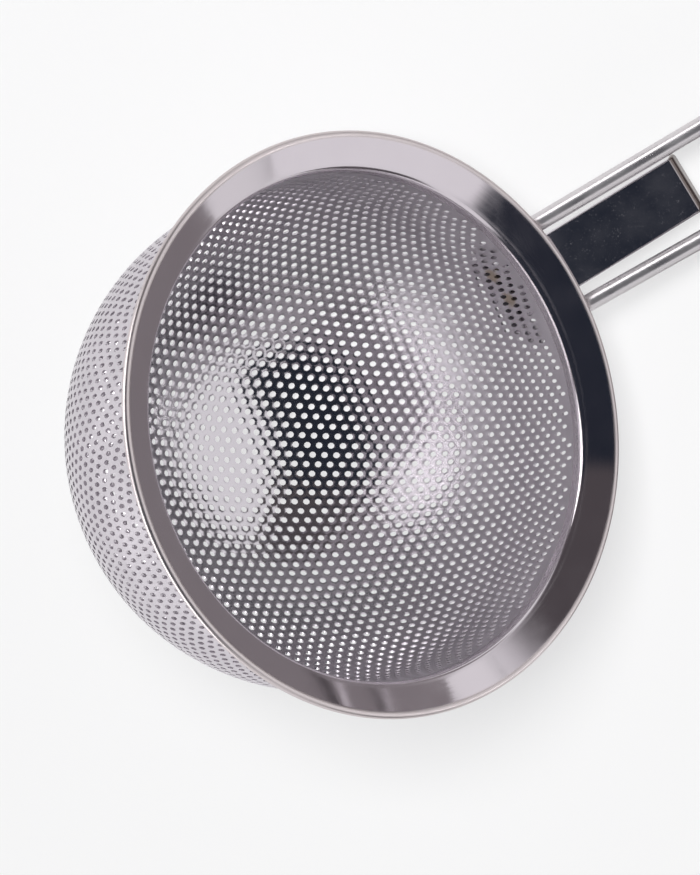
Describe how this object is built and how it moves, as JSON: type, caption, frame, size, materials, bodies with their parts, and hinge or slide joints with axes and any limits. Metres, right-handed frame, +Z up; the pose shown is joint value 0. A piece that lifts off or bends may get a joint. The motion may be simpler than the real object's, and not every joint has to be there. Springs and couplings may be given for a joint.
{
  "type": "miso strainer",
  "caption": "Deep perforated steel strainer bowl with a polished conical rim collar and a raised hairpin wire handle, for straining miso into soup.",
  "frame": {"origin": "on the surface that the strainer lies on, under the middle of its bounding box", "axes": "+Z up from that surface, +X along the handle away from the bowl, the XZ plane is the plane of mirror symmetry"},
  "size_m": [0.2362, 0.1, 0.0943],
  "materials": {
    "perforated_steel": "punched stainless sheet, bright satin",
    "collar_steel": "mirror-polished stainless steel",
    "wire_steel": "polished drawn stainless wire",
    "plate_steel": "mirror-polished stainless strip"
  },
  "bodies": {
    "root": {"perforated_bowl": "perforated_steel", "rim_collar": "collar_steel", "handle_wire": "wire_steel", "handle_plate": "plate_steel"}
  },
  "joints": []
}
